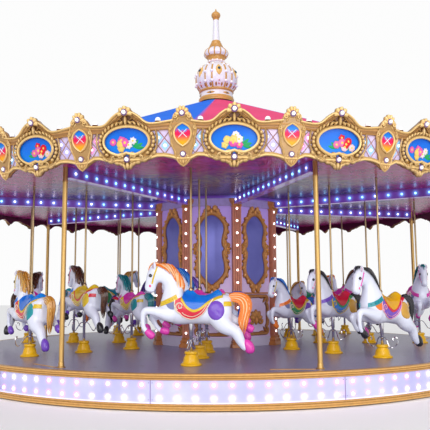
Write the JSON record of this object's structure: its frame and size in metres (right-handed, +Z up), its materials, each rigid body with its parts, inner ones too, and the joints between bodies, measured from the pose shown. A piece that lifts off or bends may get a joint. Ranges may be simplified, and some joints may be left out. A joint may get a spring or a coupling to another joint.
{
  "type": "fairground carousel",
  "caption": "Fairground carousel: rings of galloping horses on rising poles stand on a round turntable under a conical canopy with a crested cornice and a domed finial.",
  "frame": {"origin": "on the ground at the centre of rotation", "axes": "+Z up, -Y towards the front post, right-handed, metres"},
  "size_m": [9.2322, 9.2322, 6.526],
  "materials": {
    "frame_steel": "dark grey painted structural steel",
    "deck_grey": "slightly glossy grey painted deck boards",
    "gold_paint": "satin antique gold paint",
    "light_band": "pale lavender sheet with round lamp lenses",
    "purple_gloss": "glossy purple paint",
    "ceiling_print": "glossy marbled purple, blue and cream panels",
    "core_panel": "mirror and lilac-white gloss panels",
    "core_gold": "copper-gold painted moulded frame",
    "cornice_paint": "gold carved relief with blue and lilac panels",
    "roof_sheet": "red-pink and royal blue coated roof sheets",
    "finial_paint": "white gloss with gold ribs and gems",
    "horse_paint": "white gloss moulded horse with bright painted tack"
  },
  "bodies": {
    "base": {"ground_frame": "frame_steel", "slewing_bearing": "frame_steel"},
    "turntable": {"platform_deck": "deck_grey", "skirt_top_moulding": "gold_paint", "skirt_light_band": "light_band", "skirt_bottom_moulding": "gold_paint", "core_drum": "core_panel", "core_frame": "core_gold", "centre_mast": "frame_steel", "canopy_post_1": "gold_paint", "canopy_post_2": "gold_paint", "canopy_post_3": "gold_paint", "canopy_post_4": "gold_paint", "canopy_post_5": "gold_paint", "canopy_post_6": "gold_paint", "canopy_post_7": "gold_paint", "canopy_post_8": "gold_paint", "canopy_beams": "purple_gloss", "ceiling": "ceiling_print", "cornice_board": "cornice_paint", "roof_cone": "roof_sheet", "finial_band": "finial_paint", "finial_large_dome": "finial_paint", "finial_small_dome": "finial_paint", "finial_spire": "finial_paint"},
    "horse_outer_1": {"horse_outer_1": "horse_paint"},
    "horse_outer_2": {"horse_outer_2": "horse_paint"},
    "horse_outer_3": {"horse_outer_3": "horse_paint"},
    "horse_outer_4": {"horse_outer_4": "horse_paint"},
    "horse_outer_5": {"horse_outer_5": "horse_paint"},
    "horse_outer_6": {"horse_outer_6": "horse_paint"},
    "horse_outer_7": {"horse_outer_7": "horse_paint"},
    "horse_outer_8": {"horse_outer_8": "horse_paint"},
    "horse_middle_1": {"horse_middle_1": "horse_paint"},
    "horse_middle_2": {"horse_middle_2": "horse_paint"},
    "horse_middle_3": {"horse_middle_3": "horse_paint"},
    "horse_middle_4": {"horse_middle_4": "horse_paint"},
    "horse_middle_5": {"horse_middle_5": "horse_paint"},
    "horse_middle_6": {"horse_middle_6": "horse_paint"},
    "horse_middle_7": {"horse_middle_7": "horse_paint"},
    "horse_middle_8": {"horse_middle_8": "horse_paint"},
    "horse_inner_1": {"horse_inner_1": "horse_paint"},
    "horse_inner_2": {"horse_inner_2": "horse_paint"},
    "horse_inner_3": {"horse_inner_3": "horse_paint"},
    "horse_inner_4": {"horse_inner_4": "horse_paint"},
    "horse_inner_5": {"horse_inner_5": "horse_paint"},
    "horse_inner_6": {"horse_inner_6": "horse_paint"},
    "horse_inner_7": {"horse_inner_7": "horse_paint"},
    "horse_inner_8": {"horse_inner_8": "horse_paint"}
  },
  "joints": [
    {"name": "turntable_spin", "type": "hinge", "parent": "base", "child": "turntable", "pos_m": [0, 0, 0.3], "axis": [0, 0, 1], "continuous": true},
    {"name": "horse_outer_1_rise", "type": "slide", "parent": "turntable", "child": "horse_outer_1", "axis": [0, 0, 1], "range_m": [-0.045, 0.195]},
    {"name": "horse_outer_2_rise", "type": "slide", "parent": "turntable", "child": "horse_outer_2", "axis": [0, 0, 1], "range_m": [-0.15, 0.09]},
    {"name": "horse_outer_3_rise", "type": "slide", "parent": "turntable", "child": "horse_outer_3", "axis": [0, 0, 1], "range_m": [-0.18, 0.06]},
    {"name": "horse_outer_4_rise", "type": "slide", "parent": "turntable", "child": "horse_outer_4", "axis": [0, 0, 1], "range_m": [-0.07, 0.17]},
    {"name": "horse_outer_5_rise", "type": "slide", "parent": "turntable", "child": "horse_outer_5", "axis": [0, 0, 1], "range_m": [-0.2, 0.04]},
    {"name": "horse_outer_6_rise", "type": "slide", "parent": "turntable", "child": "horse_outer_6", "axis": [0, 0, 1], "range_m": [-0.12, 0.12]},
    {"name": "horse_outer_7_rise", "type": "slide", "parent": "turntable", "child": "horse_outer_7", "axis": [0, 0, 1], "range_m": [-0.055, 0.185]},
    {"name": "horse_outer_8_rise", "type": "slide", "parent": "turntable", "child": "horse_outer_8", "axis": [0, 0, 1], "range_m": [-0.09, 0.15]},
    {"name": "horse_middle_1_rise", "type": "slide", "parent": "turntable", "child": "horse_middle_1", "axis": [0, 0, 1], "range_m": [-0.105, 0.135]},
    {"name": "horse_middle_2_rise", "type": "slide", "parent": "turntable", "child": "horse_middle_2", "axis": [0, 0, 1], "range_m": [-0.07, 0.17]},
    {"name": "horse_middle_3_rise", "type": "slide", "parent": "turntable", "child": "horse_middle_3", "axis": [0, 0, 1], "range_m": [-0.12, 0.12]},
    {"name": "horse_middle_4_rise", "type": "slide", "parent": "turntable", "child": "horse_middle_4", "axis": [0, 0, 1], "range_m": [-0.19, 0.05]},
    {"name": "horse_middle_5_rise", "type": "slide", "parent": "turntable", "child": "horse_middle_5", "axis": [0, 0, 1], "range_m": [-0.08, 0.16]},
    {"name": "horse_middle_6_rise", "type": "slide", "parent": "turntable", "child": "horse_middle_6", "axis": [0, 0, 1], "range_m": [-0.18, 0.06]},
    {"name": "horse_middle_7_rise", "type": "slide", "parent": "turntable", "child": "horse_middle_7", "axis": [0, 0, 1], "range_m": [-0.22, 0.02]},
    {"name": "horse_middle_8_rise", "type": "slide", "parent": "turntable", "child": "horse_middle_8", "axis": [0, 0, 1], "range_m": [-0.14, 0.1]},
    {"name": "horse_inner_1_rise", "type": "slide", "parent": "turntable", "child": "horse_inner_1", "axis": [0, 0, 1], "range_m": [-0.07, 0.17]},
    {"name": "horse_inner_2_rise", "type": "slide", "parent": "turntable", "child": "horse_inner_2", "axis": [0, 0, 1], "range_m": [-0.18, 0.06]},
    {"name": "horse_inner_3_rise", "type": "slide", "parent": "turntable", "child": "horse_inner_3", "axis": [0, 0, 1], "range_m": [-0.05, 0.19]},
    {"name": "horse_inner_4_rise", "type": "slide", "parent": "turntable", "child": "horse_inner_4", "axis": [0, 0, 1], "range_m": [-0.15, 0.09]},
    {"name": "horse_inner_5_rise", "type": "slide", "parent": "turntable", "child": "horse_inner_5", "axis": [0, 0, 1], "range_m": [-0.1, 0.14]},
    {"name": "horse_inner_6_rise", "type": "slide", "parent": "turntable", "child": "horse_inner_6", "axis": [0, 0, 1], "range_m": [-0.06, 0.18]},
    {"name": "horse_inner_7_rise", "type": "slide", "parent": "turntable", "child": "horse_inner_7", "axis": [0, 0, 1], "range_m": [-0.15, 0.09]},
    {"name": "horse_inner_8_rise", "type": "slide", "parent": "turntable", "child": "horse_inner_8", "axis": [0, 0, 1], "range_m": [-0.11, 0.13]}
  ]
}
